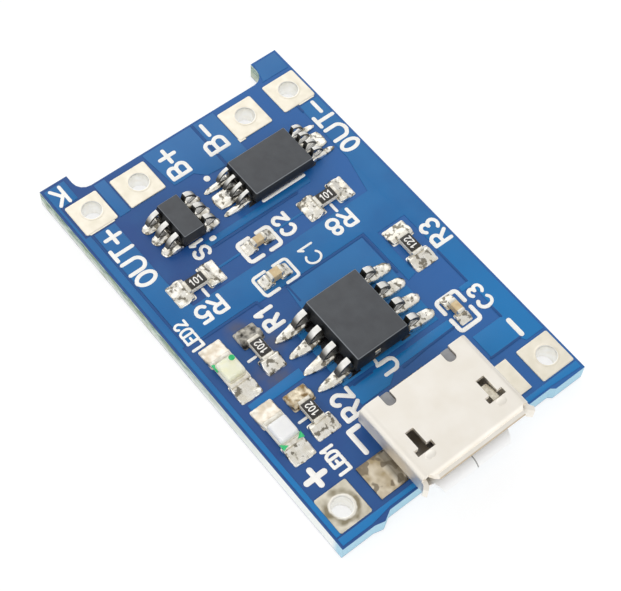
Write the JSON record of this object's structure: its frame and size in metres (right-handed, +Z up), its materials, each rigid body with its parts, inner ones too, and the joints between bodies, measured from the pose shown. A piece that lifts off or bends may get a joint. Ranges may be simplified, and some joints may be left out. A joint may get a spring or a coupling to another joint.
{
  "type": "lithium battery charger module",
  "caption": "Small blue charger board with a micro charging socket overhanging one short edge, soldered chips and lamps, and tinned wire pads at its corners.",
  "frame": {"origin": "on the board's underside at its middle", "axes": "+X along the board towards the charging socket, +Y across it towards the minus pads, +Z up out of the component side"},
  "size_m": [0.0289, 0.0176, 0.0039],
  "materials": {
    "solder_mask": "blue solder mask on glass-fibre laminate",
    "tinned_pad": "tinned copper",
    "socket_steel": "satin nickel-plated sheet",
    "socket_plastic": "black moulded insulator",
    "contact_metal": "gold-plated contact",
    "socket_tin": "solder",
    "charger_chip_mould": "moulded epoxy body",
    "charger_chip_tin": "tinned lead and solder",
    "switch_chip_mould": "moulded epoxy body",
    "switch_chip_tin": "tinned lead and solder",
    "protection_chip_mould": "moulded epoxy body",
    "protection_chip_tin": "tinned lead and solder",
    "resistor_ceramic": "glazed thick-film resistor on ceramic",
    "resistor_tin": "tinned end and solder",
    "capacitor_ceramic": "ceramic capacitor with tinned ends",
    "lamp_base_white": "white lamp base with tinned ends",
    "lamp_lens": "cast resin lens"
  },
  "bodies": {
    "root": {"circuit_board": "solder_mask", "pad_out_plus": "tinned_pad", "pad_out_minus": "tinned_pad", "pad_battery_plus": "tinned_pad", "pad_battery_minus": "tinned_pad", "pad_in_plus": "tinned_pad", "pad_in_minus": "tinned_pad", "socket_shell": "socket_steel", "socket_insulator": "socket_plastic", "socket_contact_1": "contact_metal", "socket_contact_2": "contact_metal", "socket_contact_3": "contact_metal", "socket_contact_4": "contact_metal", "socket_contact_5": "contact_metal", "socket_solder_plus_side": "socket_tin", "socket_solder_minus_side": "socket_tin", "charger_chip_body": "charger_chip_mould", "charger_chip_lead_1": "charger_chip_tin", "charger_chip_lead_2": "charger_chip_tin", "charger_chip_lead_3": "charger_chip_tin", "charger_chip_lead_4": "charger_chip_tin", "charger_chip_lead_5": "charger_chip_tin", "charger_chip_lead_6": "charger_chip_tin", "charger_chip_lead_7": "charger_chip_tin", "charger_chip_lead_8": "charger_chip_tin", "switch_chip_body": "switch_chip_mould", "switch_chip_drain_frame": "switch_chip_tin", "switch_chip_source_1": "switch_chip_tin", "switch_chip_source_2": "switch_chip_tin", "switch_chip_gate_1": "switch_chip_tin", "switch_chip_gate_2": "switch_chip_tin", "protection_chip_body": "protection_chip_mould", "protection_chip_lead_1": "protection_chip_tin", "protection_chip_lead_2": "protection_chip_tin", "protection_chip_lead_3": "protection_chip_tin", "protection_chip_lead_4": "protection_chip_tin", "protection_chip_lead_5": "protection_chip_tin", "protection_chip_lead_6": "protection_chip_tin", "resistor_1_body": "resistor_ceramic", "resistor_1_end_a": "resistor_tin", "resistor_1_end_b": "resistor_tin", "resistor_2_body": "resistor_ceramic", "resistor_2_end_a": "resistor_tin", "resistor_2_end_b": "resistor_tin", "resistor_3_body": "resistor_ceramic", "resistor_3_end_a": "resistor_tin", "resistor_3_end_b": "resistor_tin", "resistor_5_body": "resistor_ceramic", "resistor_5_end_a": "resistor_tin", "resistor_5_end_b": "resistor_tin", "resistor_6_body": "resistor_ceramic", "resistor_6_end_a": "resistor_tin", "resistor_6_end_b": "resistor_tin", "capacitor_1": "capacitor_ceramic", "capacitor_2": "capacitor_ceramic", "capacitor_3": "capacitor_ceramic", "led_1_base": "lamp_base_white", "led_1_lens": "lamp_lens", "led_2_base": "lamp_base_white", "led_2_lens": "lamp_lens"}
  },
  "joints": []
}
